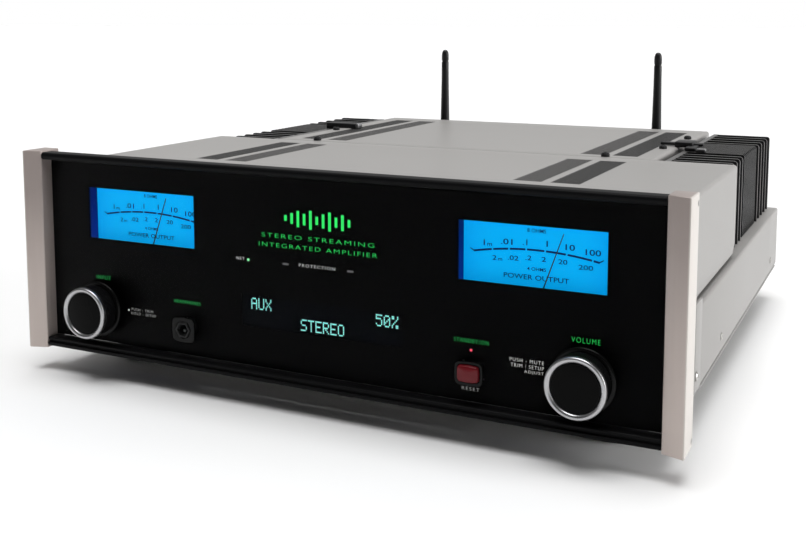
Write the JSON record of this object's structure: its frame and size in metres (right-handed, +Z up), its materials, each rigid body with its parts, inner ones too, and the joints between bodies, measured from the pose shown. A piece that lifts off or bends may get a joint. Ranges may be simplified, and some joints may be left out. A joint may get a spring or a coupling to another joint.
{
  "type": "integrated stereo amplifier",
  "caption": "Wide, low hi-fi amplifier: black glass front with blue needle meters and a display, silver end caps, grey vented case, finned heat sinks and rear aerials.",
  "frame": {"origin": "centre of the overall box, on the surface the feet stand on", "axes": "+Z up; the front panel faces -Y; +X is to the right of somebody facing the front panel"},
  "size_m": [0.4444, 0.46, 0.21],
  "materials": {
    "front_glass": "smoked black glass, polished",
    "mask_black": "printed black backing, matte",
    "rail_black": "black anodised, satin",
    "cap_silver": "champagne anodised, satin",
    "plain_steel": "zinc-plated steel",
    "dial_blue": "printed translucent dial, lit from behind",
    "needle_black": "black paint",
    "display_glass": "dark display envelope, polished",
    "knob_black": "fine-ribbed side, polished face",
    "ring_chrome": "polished",
    "button_red": "dark red, polished",
    "moulded_black": "moulded, fine texture",
    "circuit_green": "solder mask over laminate",
    "cover_grey": "warm grey fine powder coat",
    "panel_black": "black powder coat",
    "sink_black": "black anodised, machined fin edges",
    "foot_rubber": "matte",
    "transformer_can": "black enamel can",
    "capacitor_sleeve": "shrink sleeve",
    "post_gold": "gold plated",
    "aerial_rubber": "satin black sheath"
  },
  "bodies": {
    "chassis": {"glass_panel": "front_glass", "panel_mask": "mask_black", "top_rail": "rail_black", "bottom_rail": "rail_black", "end_cap_left": "cap_silver", "end_cap_right": "cap_silver", "front_subpanel": "plain_steel", "meter_housing_left": "mask_black", "meter_housing_right": "mask_black", "meter_dial_left": "dial_blue", "meter_dial_right": "dial_blue", "meter_movement_left": "plain_steel", "meter_movement_right": "plain_steel", "display_module": "display_glass", "input_encoder": "plain_steel", "volume_encoder": "plain_steel", "power_switch": "moulded_black", "headphone_jack": "moulded_black", "control_board": "circuit_green", "chassis_tray": "cover_grey", "front_cover": "cover_grey", "rear_cover": "cover_grey", "rear_panel": "panel_black", "heatsink_left": "sink_black", "heatsink_right": "sink_black", "foot_front_left": "foot_rubber", "foot_front_right": "foot_rubber", "foot_rear_left": "foot_rubber", "foot_rear_right": "foot_rubber", "power_transformer": "transformer_can", "amplifier_board": "circuit_green", "supply_board": "circuit_green", "input_board": "circuit_green", "filter_capacitor_left": "capacitor_sleeve", "filter_capacitor_right": "capacitor_sleeve", "speaker_terminal_block": "moulded_black", "phono_socket_block": "post_gold", "balanced_socket_pair": "moulded_black", "digital_socket_block": "moulded_black", "mains_inlet": "moulded_black", "aerial_socket_left": "post_gold", "aerial_socket_right": "post_gold"},
    "input_push": {"input_shaft": "plain_steel"},
    "input_dial": {"input_knob": "knob_black", "input_knob_ring": "ring_chrome"},
    "volume_push": {"volume_shaft": "plain_steel"},
    "volume_dial": {"volume_knob": "knob_black", "volume_knob_ring": "ring_chrome"},
    "power_push": {"power_button": "button_red"},
    "needle_left": {"meter_needle_left": "needle_black"},
    "needle_right": {"meter_needle_right": "needle_black"},
    "aerial_left_swivel": {"aerial_elbow_left": "aerial_rubber"},
    "aerial_left": {"aerial_mast_left": "aerial_rubber"},
    "aerial_right_swivel": {"aerial_elbow_right": "aerial_rubber"},
    "aerial_right": {"aerial_mast_right": "aerial_rubber"},
    "post_1": {"binding_post_1": "post_gold"},
    "post_2": {"binding_post_2": "post_gold"},
    "post_3": {"binding_post_3": "post_gold"},
    "post_4": {"binding_post_4": "post_gold"}
  },
  "joints": [
    {"name": "input_press", "type": "slide", "parent": "chassis", "child": "input_push", "axis": [0, 1, 0], "range_m": [0, 0.0005], "stiffness_N_per_m": 4000, "springref_m": -0.0003},
    {"name": "input_turn", "type": "hinge", "parent": "input_push", "child": "input_dial", "pos_m": [-0.16635, -0.222, 0.0478], "axis": [0, 1, 0], "continuous": true},
    {"name": "volume_press", "type": "slide", "parent": "chassis", "child": "volume_push", "axis": [0, 1, 0], "range_m": [0, 0.0005], "stiffness_N_per_m": 4000, "springref_m": -0.0003},
    {"name": "volume_turn", "type": "hinge", "parent": "volume_push", "child": "volume_dial", "pos_m": [0.16635, -0.222, 0.0478], "axis": [0, 1, 0], "continuous": true},
    {"name": "power_press", "type": "slide", "parent": "chassis", "child": "power_push", "axis": [0, 1, 0], "range_m": [0, 0.0015], "stiffness_N_per_m": 1200, "springref_m": -0.0006},
    {"name": "needle_left_swing", "type": "hinge", "parent": "chassis", "child": "needle_left", "pos_m": [-0.13415, -0.203, 0.0764], "axis": [0, 1, 0], "range_deg": [-66.5, 27.5]},
    {"name": "needle_right_swing", "type": "hinge", "parent": "chassis", "child": "needle_right", "pos_m": [0.13415, -0.203, 0.0764], "axis": [0, 1, 0], "range_deg": [-66.5, 27.5]},
    {"name": "aerial_left_swivel", "type": "hinge", "parent": "chassis", "child": "aerial_left_swivel", "pos_m": [-0.10525, 0.218, 0.1075], "axis": [0, 1, 0], "range_deg": [-90, 90]},
    {"name": "aerial_left_tilt", "type": "hinge", "parent": "aerial_left_swivel", "child": "aerial_left", "pos_m": [-0.10525, 0.2225, 0.1075], "axis": [1, 0, 0], "range_deg": [-90, 0]},
    {"name": "aerial_right_swivel", "type": "hinge", "parent": "chassis", "child": "aerial_right_swivel", "pos_m": [0.10525, 0.218, 0.1075], "axis": [0, 1, 0], "range_deg": [-90, 90]},
    {"name": "aerial_right_tilt", "type": "hinge", "parent": "aerial_right_swivel", "child": "aerial_right", "pos_m": [0.10525, 0.2225, 0.1075], "axis": [1, 0, 0], "range_deg": [-90, 0]},
    {"name": "post_1_turn", "type": "hinge", "parent": "chassis", "child": "post_1", "pos_m": [-0.059, 0.218, 0.054], "axis": [0, 1, 0], "range_deg": [-720, 0]},
    {"name": "post_2_turn", "type": "hinge", "parent": "chassis", "child": "post_2", "pos_m": [-0.029, 0.218, 0.054], "axis": [0, 1, 0], "range_deg": [-720, 0]},
    {"name": "post_3_turn", "type": "hinge", "parent": "chassis", "child": "post_3", "pos_m": [0.001, 0.218, 0.054], "axis": [0, 1, 0], "range_deg": [-720, 0]},
    {"name": "post_4_turn", "type": "hinge", "parent": "chassis", "child": "post_4", "pos_m": [0.031, 0.218, 0.054], "axis": [0, 1, 0], "range_deg": [-720, 0]}
  ]
}
